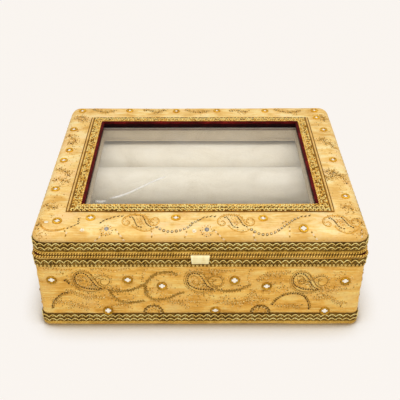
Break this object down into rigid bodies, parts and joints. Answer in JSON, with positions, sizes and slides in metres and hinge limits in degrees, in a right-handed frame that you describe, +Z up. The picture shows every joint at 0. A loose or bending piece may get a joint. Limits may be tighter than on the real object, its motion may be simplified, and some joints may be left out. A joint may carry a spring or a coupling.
{
  "type": "bangle box",
  "caption": "Cloth-covered box with a padded, windowed lid on back hinges, a lined tray space and padded velvet rolls that carry bangles.",
  "frame": {"origin": "centre of the underside, on the surface that the box rests on", "axes": "+X to the right along the front, +Y from the front to the hinges at the back, +Z up"},
  "size_m": [0.3332, 0.2861, 0.12],
  "materials": {
    "silk": "slubbed raw silk with a soft sheen",
    "backing_cloth": "plain woven",
    "board": "bare fibre board",
    "lining_card": "velvet-covered card",
    "white_velvet": "short pile",
    "maroon_velvet": "short pile",
    "braid": "woven with metal thread",
    "gold_cord": "twisted metal thread",
    "gold_lace": "metal-thread lace",
    "ribbon": "satin",
    "wadding": "soft foam wadding",
    "dowel": "smooth",
    "clear_sheet": "clear and glossy",
    "brass": "dull polish"
  },
  "bodies": {
    "base": {"base_floor_board": "board", "base_front_board": "board", "base_back_board": "board", "base_left_board": "board", "base_right_board": "board", "base_silk_cover": "silk", "base_underside_cloth": "backing_cloth", "base_rim_velvet": "maroon_velvet", "base_rim_cord": "gold_cord", "base_top_braid": "braid", "base_bottom_braid": "braid", "floor_lining": "white_velvet", "compartment_divider": "white_velvet", "roll_cradle_left": "white_velvet", "roll_cradle_right": "white_velvet", "wall_lining": "lining_card", "hinge_left_base_leaf": "brass", "hinge_left_pin": "brass", "hinge_right_base_leaf": "brass", "hinge_right_pin": "brass", "hinge_base_screws": "brass"},
    "lid": {"lid_silk_cover": "silk", "lid_rim_velvet": "maroon_velvet", "window_velvet_edging": "maroon_velvet", "lid_rim_cord": "gold_cord", "lid_braid": "braid", "lid_underside_panel": "lining_card", "lid_well_lining": "lining_card", "lid_front_board": "board", "lid_front_rail": "board", "lid_front_well_board": "board", "lid_front_padding": "wadding", "lid_back_board": "board", "lid_back_rail": "board", "lid_back_well_board": "board", "lid_back_padding": "wadding", "lid_left_board": "board", "lid_left_rail": "board", "lid_left_well_board": "board", "lid_left_padding": "wadding", "lid_right_board": "board", "lid_right_rail": "board", "lid_right_well_board": "board", "lid_right_padding": "wadding", "window_lace": "gold_lace", "window_pane": "clear_sheet", "pull_tab": "ribbon", "hinge_left_lid_leaf": "brass", "hinge_right_lid_leaf": "brass", "hinge_lid_screws": "brass"},
    "roll_front": {"roll_front_dowel": "dowel", "roll_front_foam_core": "wadding", "roll_front_velvet_sleeve": "white_velvet", "roll_front_end_discs": "white_velvet"},
    "roll_back": {"roll_back_dowel": "dowel", "roll_back_foam_core": "wadding", "roll_back_velvet_sleeve": "white_velvet", "roll_back_end_discs": "white_velvet"}
  },
  "joints": [
    {"name": "lid_hinge", "type": "hinge", "parent": "base", "child": "lid", "pos_m": [0, 0.1407, 0.0924], "axis": [-1, 0, 0], "range_deg": [0, 100]},
    {"name": "roll_front_spin", "type": "hinge", "parent": "base", "child": "roll_front", "pos_m": [0, 0.033, 0.0614], "axis": [1, 0, 0], "continuous": true},
    {"name": "roll_back_spin", "type": "hinge", "parent": "base", "child": "roll_back", "pos_m": [0, 0.099, 0.0614], "axis": [1, 0, 0], "continuous": true}
  ]
}
